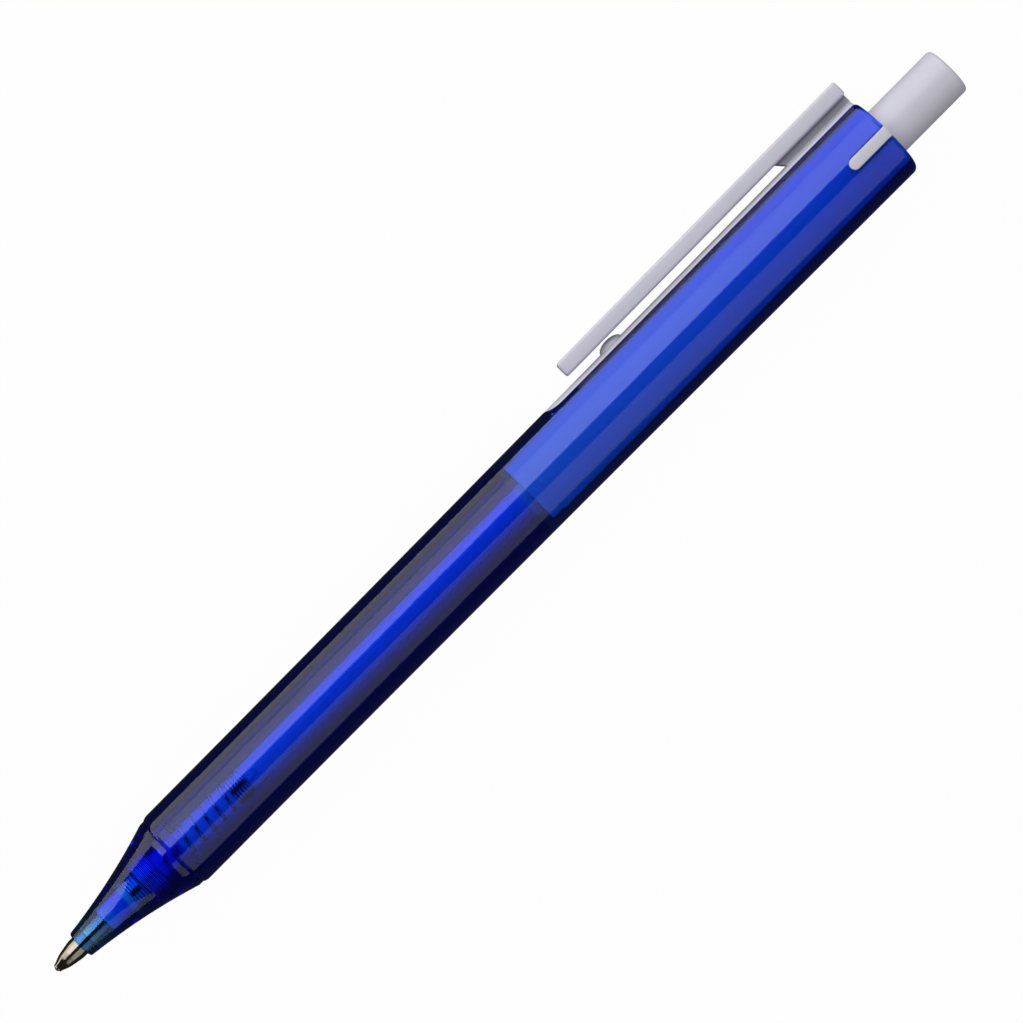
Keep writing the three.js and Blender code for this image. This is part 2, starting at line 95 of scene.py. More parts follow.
def to_row(points):
    """Points given as station, height and side, moved into the row frame."""
    return TIP + np.asarray(points, float) @ np.stack([ALONG, CLIPWARD, FACING])


def stations(node):
    """The first and last station of a CAD node."""
    low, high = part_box(node)
    return low[0] - TIP[0], high[0] - TIP[0]


def swell(station):
    """Outer radius of the barrel: it grows from the seam to the rim with a power of the share of the way."""
    sizes = bpy.context.scene.pen_barrel
    front, rim = stations("barrel")
    share = np.clip((station - front) / (rim - sizes.rim_round - front), 0, 1)
    return sizes.front_radius + (sizes.rim_radius - sizes.front_radius) * share**SWELL_POWER


def length_prop(name, description, millimetres):
    """A length that a user can set, with its default in millimetres."""
    return FloatProperty(
        name=name, description=description, default=millimetres * MM, min=0, subtype="DISTANCE", precision=5
    )


def colour_prop(name, description, colour):
    """A colour that a user can set."""
    return FloatVectorProperty(
        name=name, description=description, default=colour, min=0, max=1, size=3, subtype="COLOR"
    )


class BarrelSizes(bpy.types.PropertyGroup):
    """Sizes of the clear barrel and nose."""

    front_radius: length_prop("Front radius", "Outer radius of the barrel at the seam", 5.05)
    rim_radius: length_prop("Rim radius", "Outer radius of the barrel at its rim", 5.48)
    lower_bore: length_prop("Lower bore", "Bore radius of the lower barrel", 3.75)
    upper_bore: length_prop("Upper bore", "Bore radius around the guide sleeve", 4.3)
    bore_step: length_prop("Bore step", "Station where the bore widens", 75.27)
    rim_round: length_prop("Rim rounding", "Edge radius of the rim", 0.75)
    clip_slot_width: length_prop("Clip slot width", "Width of the slot for the clip", 4.8)
    clip_slot_length: length_prop("Clip slot length", "Length of the slot for the clip", 49.75)
    key_slot_width: length_prop("Key slot width", "Width of the slot for each key", 1.72)
    key_slot_length: length_prop("Key slot length", "Length of the slot for each key", 6.1)
    mouth_radius: length_prop("Mouth radius", "Outer radius of the nose's mouth", 1.78)
    waist_radius: length_prop("Waist radius", "Radius that bends the nose's flare", 2.65)
    sides: IntProperty(name="Sides", description="Sides of the round clear pieces", default=192, min=24)


class RefillSizes(bpy.types.PropertyGroup):
    """Sizes of the refill and its spring."""

    tube_radius: length_prop("Tube radius", "Outer radius of the ink tube", 1.575)
    tube_bore: length_prop("Tube bore", "Inner radius of the ink tube", 1.155)
    holder_radius: length_prop("Holder radius", "Radius of the tip holder", 1.53)
    nib_radius: length_prop("Nib radius", "Radius of the nib's shank", 1.27)
    nib_cone: length_prop("Nib cone", "Length of the nib's cone", 3.2)
    ball_radius: length_prop("Ball radius", "Radius of the writing ball", 0.5)
    wire_radius: length_prop("Wire radius", "Radius of the spring's wire", 0.2)
    end_pitch: length_prop("End pitch", "Pitch of the spring's closed ends", 0.4)
    front_curls: length_prop("Front curls", "Length of the spring's closed front end", 2.1)
    rear_curls: length_prop("Rear curls", "Length of the spring's closed rear end", 2.55)
    open_curls: IntProperty(name="Open curls", description="Open curls of the spring", default=9, min=2)
    start_turn: FloatProperty(
        name="Start turn", description="Where the wire starts, in turns from the clip's side", default=0.917
    )
    sides: IntProperty(name="Sides", description="Sides of the refill's round pieces", default=96, min=16)


class ClipSizes(bpy.types.PropertyGroup):
    """Sizes of the clip, its strip, the guide sleeve and the button."""

    arm_width: length_prop("Arm width", "Width of the clip's arm", 4.2)
    arm_thickness: length_prop("Arm thickness", "Thickness of the clip's arm", 1.88)
    arm_front_gap: length_prop("Arm front gap", "Arm's underside over the rim radius, at the tip", 0.69)
    arm_rear_gap: length_prop("Arm rear gap", "Arm's underside over the rim radius, at the rear", 0.93)
    arm_edge: length_prop("Arm edge", "Edge radius of the arm", 0.32)
    web_width: length_prop("Web width", "Width of the web under the arm", 1.8)
    bump_length: length_prop("Bump length", "Length of the grip bump", 3.3)
    bump_gap: length_prop("Bump gap", "Gap between the bump and the arm", 0.24)
    sleeve_radius: length_prop("Sleeve radius", "Outer radius of the guide sleeve", 4.15)
    button_radius: length_prop("Button radius", "Radius of the push button", 3.1)
    button_edge: length_prop("Button edge", "Edge radius of the push button", 0.45)


class FinishColours(bpy.types.PropertyGroup):
    """Colours of the finishes."""

    clear: colour_prop("Clear blue", "Surface tint of the clear blue plastic", (0.92, 0.97, 1.0))
    grey: colour_prop("Light grey", "Clip and button", (0.56, 0.55, 0.63))
    # On the sleeve this white is painted light: lighter than its keys' grey, for light lost in the barrel
    white: colour_prop("White", "Guide sleeve and cam", (0.81, 0.8, 0.87))
    tube: colour_prop("Tube", "Ink tube and tip holder", (0.86, 0.89, 0.96))
    nickel: colour_prop("Nickel silver", "Nib", (0.38, 0.345, 0.28))
    steel: colour_prop("Steel", "Spring", (0.62, 0.63, 0.67))


class StageSettings(bpy.types.PropertyGroup):
    """Settings of the camera."""

    distance: FloatProperty(
        name="Camera distance", description="Camera to the pen's axis", default=0.5, min=0.1, subtype="DISTANCE"
    )
    frame_width: length_prop("Frame width", "Width of the picture at the pen's axis", 116.25)
    aim: length_prop("Aim", "Station at the middle of the picture", 73.45)
    lean: FloatProperty(
        name="Lean", description="Angle of the pen in the picture", default=math.radians(45.25), subtype="ANGLE"
    )


# Meshes


def rounded(corners, radii, steps=6):
    """A polyline whose corners are rounded by arcs of the given radii.

    At a corner with the angle 2a between its sides, the arc's centre lies radius / sin(a) along the bisector
    and the arc touches each side radius / tan(a) from the corner.
    """
    corners = np.asarray(corners, float)
    points = [corners[:1]]
    for before, corner, after, radius in zip(corners, corners[1:], corners[2:], radii):
        if radius <= 0:
            points.append(corner[None])
            continue
        back = (before - corner) / np.linalg.norm(before - corner)
        ahead = (after - corner) / np.linalg.norm(after - corner)
        half = 0.5 * math.acos(np.clip(back @ ahead, -1, 1))
        bisector = (back + ahead) / np.linalg.norm(back + ahead)
        centre = corner + bisector * radius / math.sin(half)
        first = corner + back * radius / math.tan(half) - centre
        last = corner + ahead * radius / math.tan(half) - centre
        sweep = math.acos(np.clip(first @ last / radius**2, -1, 1))
        share = np.linspace(0, 1, steps + 1)[:, None]
        arc = (np.sin((1 - share) * sweep) * first + np.sin(share * sweep) * last) / math.sin(sweep)
        points.append(centre + arc)
    points.append(corners[-1:])
    return np.concatenate(points)


def grid_faces(rows, columns, wrap_rows):
    """Quads over a grid whose columns close on themselves, and whose rows do where wrap_rows is set."""
    row = np.arange(rows if wrap_rows else rows - 1)[:, None]
    column = np.arange(columns)[None, :]
    beside = (column + 1) % columns
    ahead = (row + 1) % rows
    quads = [row * columns + column, row * columns + beside, ahead * columns + beside, ahead * columns + column]
    return np.stack(quads, -1).reshape(-1, 4)


def surface(points, wrap_rows=False):
    """Vertices and faces of a grid of points, with a flat cap at its first and last row unless it wraps."""
    rows, columns, _ = points.shape
    faces = grid_faces(rows, columns, wrap_rows).tolist()
    if not wrap_rows:
        faces.append(list(range(columns))[::-1])
        faces.append(list(range((rows - 1) * columns, rows * columns)))
    return points.reshape(-1, 3), faces


def turned(profile, sides):
    """Each point of the profile, a station and a radius, carried round the pen's axis.

    The height is the radius times the cosine of the turn, and the side is the radius times its sine.
    """
    turn = np.linspace(0, 2 * math.pi, sides, endpoint=False)[None, :]
    station, radius = np.asarray(profile, float).T[:, :, None]
    return np.stack([station + 0 * turn, radius * np.cos(turn), radius * np.sin(turn)], -1)


def edge_arc(end, radius, inward, steps):
    """A quarter circle that rounds an end; inward is its size, signed by the way from the end into the piece.

    The station is the end plus inward times (1 - sine), and the radius falls by the size times (1 - cosine).
    """
    turn = np.linspace(0, math.pi / 2, steps + 1)
    return np.column_stack([end + inward * (1 - np.sin(turn)), radius - abs(inward) * (1 - np.cos(turn))])


def wall(outer, inner, sides):
    """A turned wall between an outer and an inner profile, both listed from front to rear."""
    return surface(turned(np.concatenate([outer, np.asarray(inner, float)[::-1]]), sides), wrap_rows=True)


def rod(profile, sides):
    """A turned solid whose flat ends close on the axis."""
    return surface(turned(profile, sides))


def level(height):
    """A height or radius that is the same at every station."""
    return lambda station: height + 0 * station


def bar(front, rear, low, high, half_width, edge, steps=5, cuts=24):
    """A bar along the pen with rounded edges and ends; low and high give its height at a station.

    Each section is a rectangle whose corners are quarter circles, and cuts is the number of sections between the
    rounded ends. Near an end it is drawn in by edge minus the root of edge squared less (edge minus the way in)
    squared.
    """
    way_in = edge * (1 - np.cos(np.linspace(0, math.pi / 2, steps + 1)))
    station = np.concatenate([front + way_in, np.linspace(front, rear, cuts + 2)[1:-1], rear - way_in[::-1]])
    inward = np.minimum(np.minimum(station - front, rear - station), edge)
    inset = edge - np.sqrt(np.maximum(edge**2 - (edge - inward) ** 2, 0))
    bottom, top = low(station) + inset, high(station) - inset
    half = half_width - inset
    corner = np.linspace(0, math.pi / 2, steps + 1)
    turn = np.concatenate([corner + quarter * math.pi / 2 for quarter in range(4)])
    reach = np.minimum(edge, (top - bottom) / 2)[:, None]
    upward, sideways = np.repeat([1, -1, -1, 1], steps + 1), np.repeat([1, 1, -1, -1], steps + 1)
    middle, half_height = ((top + bottom) / 2)[:, None], ((top - bottom) / 2)[:, None]
    height = middle + upward * (half_height - reach) + reach * np.cos(turn)
    side = sideways * (half[:, None] - reach) + reach * np.sin(turn)
    return surface(np.stack([station[:, None] + 0 * turn, height, side], -1))


def slot_outline(front, rear, half_width, steps=24):
    """Stations, and the half width at each, of a slot with a half round front end.

    The last millimetre is cut finely, because the clip's strip slopes down there.
    """
    turn = np.linspace(0, math.pi / 2, steps + 1)[1:]
    slope_start = rear - 1 * MM
    straight = np.concatenate([
        np.linspace(front + half_width, slope_start, 12)[1:],
        np.linspace(slope_start, rear, 9)[1:],
    ])
    station = np.concatenate([front + half_width * (1 - np.cos(turn)), straight])
    return station, np.concatenate([half_width * np.sin(turn), np.full_like(straight, half_width)])


def slot_filler(front, rear, half_width, top, bottom, turn, edge=0.12 * MM):
    """A strip that fills a slot in the round wall, turned about the axis from the clip's side.

    Its top and bottom follow circles about the axis: the height is the root of radius squared less side squared.
    Its flanks point at the axis, so that its bottom is narrower than its top by the ratio of the radii.
    Top gives the outer radius at a station. Towards each flank the top drops by up to edge, as one less the root
    of one less the eighth power of the share of the way across.
    """
    station, half = slot_outline(front, rear, half_width)
    top = top(station)[:, None]
    across = np.sin(np.linspace(-math.pi / 2, math.pi / 2, 17))[None, :]
    side = half[:, None] * across
    round_off = edge * (1 - np.sqrt(1 - across**8))
    upper = np.sqrt(top**2 - side**2) - round_off
    narrow = side * bottom / top
    lower = np.sqrt(bottom**2 - narrow**2)
    height = np.concatenate([upper, lower[:, ::-1]], 1)
    side = np.concatenate([side, narrow[:, ::-1]], 1)
    points = np.stack([station[:, None] + 0 * side, height, side], -1)
    return spun(surface(points), turn)


def slot_cutter(front, rear, half_width, low, high, turn):
    """The volume of a slot between two heights, turned about the axis from the clip's side.

    Its flanks point at the axis: the half width grows with the height, and is the given one at the middle height.
    """
    station, half = slot_outline(front, rear, half_width)
    low_edge, high_edge = np.full_like(half, low), np.full_like(half, high)
    height = np.stack([high_edge, high_edge, low_edge, low_edge], 1)
    middle = (low + high) / 2
    wide, narrow = half * high / middle, half * low / middle
    side = np.stack([-wide, wide, narrow, -narrow], 1)
    points = np.stack([station[:, None] + 0 * side, height, side], -1)
    return spun(surface(points), turn)


def prism(outline, half_width):
    """An outline of stations and heights, carried across the pen from minus to plus half its width."""
    outline = np.asarray(outline, float)
    loops = [np.column_stack([outline, np.full(len(outline), side)]) for side in (-half_width, half_width)]
    return surface(np.stack(loops))


def dome(station, base, half_length, half_width, height, steps=24):
    """Half an ellipsoid: the height follows the cosine of the latitude, and the plan its sine."""
    latitude = np.linspace(POLE_GAP, math.pi / 2, steps)[::-1, None]
    turn = np.linspace(0, 2 * math.pi, 4 * steps, endpoint=False)[None, :]
    along = station + half_length * np.sin(latitude) * np.cos(turn)
    side = -half_width * np.sin(latitude) * np.sin(turn)
    up = base + height * np.cos(latitude) + 0 * turn
    return surface(np.stack([along, up, side], -1))


def ball(station, radius, steps=32):
    """A sphere about a point of the axis."""
    latitude = np.linspace(POLE_GAP, math.pi - POLE_GAP, steps)
    profile = np.column_stack([station - radius * np.cos(latitude), radius * np.sin(latitude)])
    return rod(profile, 2 * steps)


def tube_along(path, radius, sides=10):
    """A round wire of even radius along a path that winds round the pen's axis."""
    path = np.asarray(path, float)
    forward = np.gradient(path, axis=0)
    forward /= np.linalg.norm(forward, axis=1)[:, None]
    outward = path * [0, 1, 1]
    outward /= np.linalg.norm(outward, axis=1)[:, None]
    across = np.cross(forward, outward)
    turn = np.linspace(0, 2 * math.pi, sides, endpoint=False)[None, :, None]
    ring = np.cos(turn) * outward[:, None] + np.sin(turn) * across[:, None]
    return surface(path[:, None] + radius * ring)


def spun(shape, turn):
    """A shape turned about the pen's axis."""
    points, faces = shape
    cosine, sine = math.cos(turn), math.sin(turn)
    station, height, side = points.T
    return np.column_stack([station, height * cosine - side * sine, height * sine + side * cosine]), faces


def joined(*shapes):
    """Several shapes as one."""
    points, faces, offset = [], [], 0
    for shape_points, shape_faces in shapes:
        points.append(shape_points)
        faces += [[index + offset for index in face] for face in shape_faces]
        offset += len(shape_points)
    return np.concatenate(points), faces


def mesh_object(name, shape):
    """A shape as an object of the scene, with its place in its mesh."""
    points, faces = shape
    mesh = bpy.data.meshes.new(name)
    mesh.from_pydata(to_row(points).tolist(), [], faces)
    mesh.update()
    obj = bpy.data.objects.new(name, mesh)
    bpy.context.scene.collection.objects.link(obj)
    return obj


def cut(obj, cutters):
    """Takes the cutters' volume away from a piece, and leaves a plain mesh."""
    tool = mesh_object(obj.name + "_cutter", joined(*cutters))
    modifier = obj.modifiers.new("cut", "BOOLEAN")
    modifier.operation = "DIFFERENCE"
    modifier.solver = "EXACT"
    modifier.use_self = True
    modifier.object = tool
    depsgraph = bpy.context.evaluated_depsgraph_get()
    made = bpy.data.meshes.new_from_object(obj.evaluated_get(depsgraph))
    obj.modifiers.clear()
    obj.data = made
    bpy.data.objects.remove(tool)


def piece(name, shape, finish, body, replaces=(), cutters=(), sharp=32):
    """A finished piece: its mesh, its finish, the body that it rides on and the CAD nodes that it stands for.

    Without a body it is attached to none. Edges that turn by more than sharp degrees stay sharp.
    """
    old = bpy.data.objects.get(name)
    if old:
        bpy.data.objects.remove(old)
    obj = mesh_object(name, shape)
    if cutters:
        cut(obj, cutters)
    obj.data.materials.clear()
    obj.data.materials.append(finish)
    obj.data.shade_smooth()
    obj.data.set_sharp_from_angle(angle=math.radians(sharp))
    if body:
        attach(obj, body)
    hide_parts(*replaces)
    return obj


# Shader maths


class Value:
    """A value socket whose arithmetic adds Math nodes."""

    def __init__(self, finish, socket):
        self.finish = finish
        self.socket = socket

    def math(self, operation, *others):
        return self.finish.node("ShaderNodeMath", {"operation": operation}, self, *others)

    def __add__(self, other):
        return self.math("ADD", other)

    __radd__ = __add__

    def __mul__(self, other):
        return self.math("MULTIPLY", other)

    __rmul__ = __mul__

    def __sub__(self, other):
        return self.math("SUBTRACT", other)

    def __rsub__(self, other):
        return self.finish.node("ShaderNodeMath", {"operation": "SUBTRACT"}, other, self)


class Finish:
    """The nodes of a material or a world, built from expressions."""

    def __init__(self, owner):
        self.owner = owner
        owner.use_nodes = True
        self.tree = owner.node_tree
        self.tree.nodes.clear()

    @property
    def place(self):
        """The place on the object."""
        return self.node("ShaderNodeTexCoord", {}, output="Object")

    def around_axis(self):
        """The station, and the distance from the pen's axis."""
        from_tip = self.node("ShaderNodeVectorMath", {"operation": "SUBTRACT"}, self.place, tuple(TIP))
        from_axis = self.node("ShaderNodeVectorMath", {"operation": "MULTIPLY"}, from_tip, (0, 1, 1))
        reach = self.node("ShaderNodeVectorMath", {"operation": "LENGTH"}, from_axis, output="Value")
        return self.node("ShaderNodeSeparateXYZ", {}, from_tip, output="X"), reach

    def backdrop_share(self, seen, in_gloss, through_glass, lit=0):
        """How much of the plain white backdrop shows.

        Seen is the share for the camera, in_gloss for reflections, through_glass for what comes through the clear
        pieces, and lit for soft light, which has bounced off something matt.
        """
        paths = self.tree.nodes.new("ShaderNodeLightPath")
        camera, glossy, through, scattered = (
            Value(self, paths.outputs[name])
            for name in ("Is Camera Ray", "Is Glossy Ray", "Is Transmission Ray", "Diffuse Depth")
        )
        direct = 1 - scattered.math("MINIMUM", 1)
        return camera * seen + (glossy * in_gloss + through * through_glass) * direct + (1 - direct) * lit

    def node(self, kind, setup, *inputs, output=0, at=None, **named):
        """Adds a node: its settings first, then the values or links of its sockets. Gives one output back.

        At gives sockets by their number, for a node that has several of one name.
        """
        made = self.tree.nodes.new(kind)
        for key, value in setup.items():
            setattr(made, key, value)
        spaced = {key.replace("_", " "): value for key, value in named.items()}
        for key, value in {**dict(enumerate(inputs)), **(at or {}), **spaced}.items():
            if isinstance(value, Value):
                self.tree.links.new(value.socket, made.inputs[key])
            else:
                made.inputs[key].default_value = value
        return Value(self, made.outputs[output]) if made.outputs else made

    def noise(self, scale, detail=2.0, stretch=(1, 1, 1)):
        """Noise from 0 to 1. The scale is in features per metre, and stretch multiplies it along each axis."""
        place = self.node("ShaderNodeMapping", {}, self.place, Scale=stretch)
        return self.node("ShaderNodeTexNoise", {}, Vector=place, Scale=scale, Detail=detail, Roughness=0.55)

    def blend(self, share, first, second):
        """A colour between two, by a share from 0 to 1."""
        first, second = (end if isinstance(end, Value) else (*end, 1) for end in (first, second))
        return self.node("ShaderNodeMix", {"data_type": "RGBA"}, share, output=2, at={6: first, 7: second})

    def bump(self, height, strength, depth):
        """A normal from a height that runs from 0 to 1 over the depth, in metres."""
        return self.node("ShaderNodeBump", {}, Strength=strength, Distance=depth, Height=height)

    def output(self, shader, volume=None):
        """Ends the tree."""
        made = self.node("ShaderNodeOutputMaterial", {}, Surface=shader)
        if volume:
            self.tree.links.new(volume.socket, made.inputs["Volume"])
        return self.owner


def finish_of(name):
    """The nodes of the named material, emptied."""
    return Finish(bpy.data.materials.get(name) or bpy.data.materials.new(name))


def shade(colour, factor):
    """A colour times a number."""
    return tuple(min(channel * factor, 1) for channel in colour)


def clear_finish(name, tint, passed=(0.1, 0.56, 0.998), density=2350, frosted=None):
    """Clear tinted plastic: faint flow marks in the tint, smudges in the gloss, and colour in its depth.

    Passed is the colour that its depth lets through, and density how strongly. Frosted gives a place along the pen,
    in metres from the tip, and a radius: what lies behind the one and within the other is matt.
    """
    finish = finish_of(name)
    matt = 0
    if frosted:
        station, reach = finish.around_axis()
        matt_roughness = 0.3
        matt = station.math("GREATER_THAN", frosted[0]) * reach.math("LESS_THAN", frosted[1]) * matt_roughness
    drawn_out = (0.15, 1, 1)
    flow = finish.noise(160, 2, drawn_out)
    smudge = finish.noise(420, 3)
    waves = finish.noise(500, 1, drawn_out)
    shader = finish.node(
        "ShaderNodeBsdfPrincipled",
        {},
        Base_Color=finish.blend(flow, shade(tint, 0.985), tint),
        Roughness=smudge * 0.05 + 0.01 + matt,
        IOR=1.5,
        Transmission_Weight=1.0,
        Normal=finish.bump(waves, 0.02, 0.002 * MM),
    )
    depth = finish.node("ShaderNodeVolumeAbsorption", {}, Color=(*passed, 1), Density=density)
    return finish.output(shader, depth)


def moulded_finish(name, colour, roughness, grain, coat=0.0, band=None):
    """Moulded plastic: slow shade changes, a fine grain in the gloss and the surface.

    Band gives a second colour, the two distances from the pen's axis between which it shows, and the place along
    the pen, in metres from the tip, from which it does.
    """
    finish = finish_of(name)
    slow = finish.noise(90, 2)
    fine = finish.noise(grain, 3)
    dark, bright = 0.95, 1.04
    shades = finish.blend(slow, shade(colour, dark), shade(colour, bright))
    if band:
        other, near, far, start = band
        station, reach = finish.around_axis()
        inside = station.math("GREATER_THAN", start) * reach.math("GREATER_THAN", near) * reach.math("LESS_THAN", far)
        shades = finish.blend(inside, shades, finish.blend(slow, shade(other, dark), shade(other, bright)))
    shader = finish.node(
        "ShaderNodeBsdfPrincipled",
        {},
        Base_Color=shades,
        Roughness=fine * 0.16 + (roughness - 0.08),
        IOR=1.5,
        Subsurface_Weight=0.12,
        Subsurface_Scale=0.4 * MM,
        Coat_Weight=slow * coat,
        Coat_Roughness=0.15,
        Normal=finish.bump(fine, 0.3, 0.012 * MM),
    )
    return finish.output(shader)


def turned_metal_finish(name, colour, roughness, ring_pitch):
    """Turned metal: fine rings round the pen's axis, brighter and darker bands, small dents in the gloss."""
    finish = finish_of(name)
    along = finish.node("ShaderNodeSeparateXYZ", {}, finish.place, output="X")
    rings = (along * (2 * math.pi / ring_pitch)).math("SINE") * 0.5 + 0.5
    patches = finish.noise(2200, 3)
    shader = finish.node(
        "ShaderNodeBsdfPrincipled",
        {},
        Base_Color=finish.blend(patches, shade(colour, 0.85), shade(colour, 1.1)),
        Metallic=1.0,
        Roughness=patches * 0.1 + (roughness - 0.05),
        Normal=finish.bump(rings * 0.6 + patches * 0.4, 0.35, 0.006 * MM),
    )
    return finish.output(shader)


def ink_finish(name, colour):
    """Thick ink or grease: glossy, with slow swirls."""
    finish = finish_of(name)
    swirl = finish.noise(500, 3, (0.3, 1, 1))
    shader = finish.node(
        "ShaderNodeBsdfPrincipled",
        {},
        Base_Color=finish.blend(swirl, shade(colour, 0.7), shade(colour, 1.2)),
        Roughness=swirl * 0.1 + 0.12,
        Normal=finish.bump(swirl, 0.3, 0.03 * MM),
    )
    return finish.output(shader)


# Pieces


class PenOperator:
    """What the operators of the pieces share."""

    bl_options = {"REGISTER", "UNDO"}

    def execute(self, context):
        self.build(context.scene)
        return {"FINISHED"}


class PEN_OT_barrel(PenOperator, bpy.types.Operator):
    """Build the clear blue barrel with its slots"""

    bl_idname = "pen.barrel"
    bl_label = "Barrel"

    def build(self, scene):
        sizes = scene.pen_barrel
        front, rim = stations("barrel")
        edge, bevel = 0.12 * MM, 0.57 * MM
        station = np.linspace(front + bevel, rim - sizes.rim_round, 40)
        rim_arc = edge_arc(rim, sizes.rim_radius, -sizes.rim_round, 12)[1:]
        start = [
            [front, sizes.front_radius - 1.4 * edge],
            [front + edge / 2, sizes.front_radius - edge],
            [front + 3.5 * edge, sizes.front_radius - edge / 6],
        ]
        outer = np.concatenate([start, np.column_stack([station, swell(station)]), rim_arc])
        step, lower, upper = sizes.bore_step, sizes.lower_bore, sizes.upper_bore
        inner = [[front, lower], [step, lower], [step, upper], [rim, upper]]
        past = 1 * MM
        # From a height inside the bore to one outside the wall
        clip_reach, key_reach = (2.9 * MM, 6.3 * MM), (3 * MM, 7.8 * MM)
        clip_front, clip_half = rim - sizes.clip_slot_length, sizes.clip_slot_width / 2
        key_front, key_half = rim - sizes.key_slot_length, sizes.key_slot_width / 2
        cutters = [slot_cutter(clip_front, rim + past, clip_half, *clip_reach, 0)]
        cutters += [slot_cutter(key_front, rim + past, key_half, *key_reach, place) for place in KEY_TURNS]
        finish = clear_finish("clear_blue", scene.pen_colours.clear)
        shape = wall(outer, inner, sizes.sides)
        piece("barrel_clear", shape, finish, "housing", ["barrel"], cutters)


class PEN_OT_nose(PenOperator, bpy.types.Operator):
    """Build the clear blue nose cone with its inner ridges"""

    bl_idname = "pen.nose"
    bl_label = "Nose cone"

    def build(self, scene):
        sizes = scene.pen_barrel
        refill = scene.pen_refill
        mouth, spigot_end = stations("nose_cone")
        seam_gap, seam_step, edge = 0.05 * MM, 0.24 * MM, 0.28 * MM
        seam = stations("barrel")[0] - seam_gap
        shoulder = seam - 0.65 * MM
        share = np.linspace(0, 1, 40)
        first = np.array([mouth + edge, sizes.mouth_radius])
        bend = np.array([(mouth + seam) / 2, sizes.waist_radius])
        last = np.array([shoulder, sizes.front_radius - seam_step])
        flare = [(1 - t) ** 2 * first + 2 * t * (1 - t) * bend + t**2 * last for t in share]
        mouth_arc = edge_arc(mouth, sizes.mouth_radius, edge, 6)[::-1]
        spigot, spigot_bore = sizes.lower_bore - 0.1 * MM, sizes.lower_bore - 1 * MM
        outer = np.concatenate([
            mouth_arc,
            flare[1:],
            [[seam - edge / 4, last[1]], [seam, last[1] - edge / 4], [seam, spigot], [spigot_end, spigot]],
        ])
        mouth_bore = refill.nib_radius + 0.13 * MM
        holder_bore = refill.holder_radius + 0.15 * MM
        throat, seat, pocket = mouth + 1.4 * MM, mouth + 7.45 * MM, 2.42 * MM
        ridge_start, ridge_pitch, half_groove, ridges = mouth + 10.1 * MM, 0.4 * MM, 0.1 * MM, 7
        steps = np.linspace(0, ridges, 8 * ridges + 1)
        ridge_line = np.column_stack([
            ridge_start + ridge_pitch * steps,
            pocket + half_groove * (1 - np.cos(2 * math.pi * steps)),
        ])
        inner = np.concatenate([
            [[mouth, mouth_bore], [mouth + 1.33 * MM, mouth_bore], [throat, holder_bore]],
            [[seat, holder_bore], [seat, pocket], [ridge_start - ridge_pitch, pocket]],
            ridge_line,
            [[seam, spigot_bore], [spigot_end, spigot_bore]],
        ])
        # Its wall is thinner than the barrel's and still as deep a blue
        ridged = (ridge_start, 2.9 * MM)
        finish = clear_finish("clear_blue_nose", scene.pen_colours.clear, passed=(0.1, 0.72, 0.998),
                              density=4600, frosted=ridged)
        shape = wall(outer, inner, sizes.sides)
        piece("nose_cone_clear", shape, finish, "nose", ["nose_cone"])


class PEN_OT_sleeve(PenOperator, bpy.types.Operator):
    """Build the white guide sleeve with its collar and keys"""

    bl_idname = "pen.sleeve"
    bl_label = "Guide sleeve"

    def build(self, scene):
        sizes = scene.pen_clip
        barrel = scene.pen_barrel
        front = stations("guide_sleeve")[0]
        rim = stations("barrel")[1]
        sunk, collar_length, collar_step, chamfer = 0.25 * MM, 1.65 * MM, 0.13 * MM, 0.3 * MM
        end = rim - sunk
        collar_end = front + collar_length
        radius = sizes.sleeve_radius
        collar = radius - collar_step
        outer = rounded(
            [
                [front, collar - chamfer], [front, collar], [collar_end, collar], [collar_end, radius],
                [end, radius], [end, radius - chamfer],
            ],
            [0.1 * MM, 0.03 * MM, 0.03 * MM, 0.15 * MM],
        )
        button_fit, cam_wall, cam_room = 0.12 * MM, 0.6 * MM, 6.8 * MM
        bore = sizes.button_radius + button_fit
        wide = radius - cam_wall
        shoulder = stations("cam_rotor")[1] + cam_room
        inner = [[front, wide], [shoulder, wide], [shoulder, bore], [end, bore]]
        key_sunk, end_fit, side_fit, root = 0.1 * MM, 0.08 * MM, 0.13 * MM, 0.2 * MM
        keys = [
            slot_filler(
                rim - barrel.key_slot_length + end_fit,
                rim - key_sunk,
                barrel.key_slot_width / 2 - side_fit,
                level(barrel.rim_radius - key_sunk),
                radius - root,
                turn,
            )
            for turn in KEY_TURNS
        ]
        shape = joined(wall(outer, inner, 128), *keys)
        # What stands out of the sleeve is a key, and has the clip's grey
        # Sleeve and keys are one moulding: the sleeve's lighter white is painted light, for light lost in the barrel
        key_grey = (scene.pen_colours.grey, radius + 0.1 * MM, FAR, 0)
        finish = moulded_finish("sleeve_moulding", scene.pen_colours.white, roughness=0.3, grain=2600, band=key_grey)
        piece("guide_sleeve_white", shape, finish, "housing", ["guide_sleeve"])


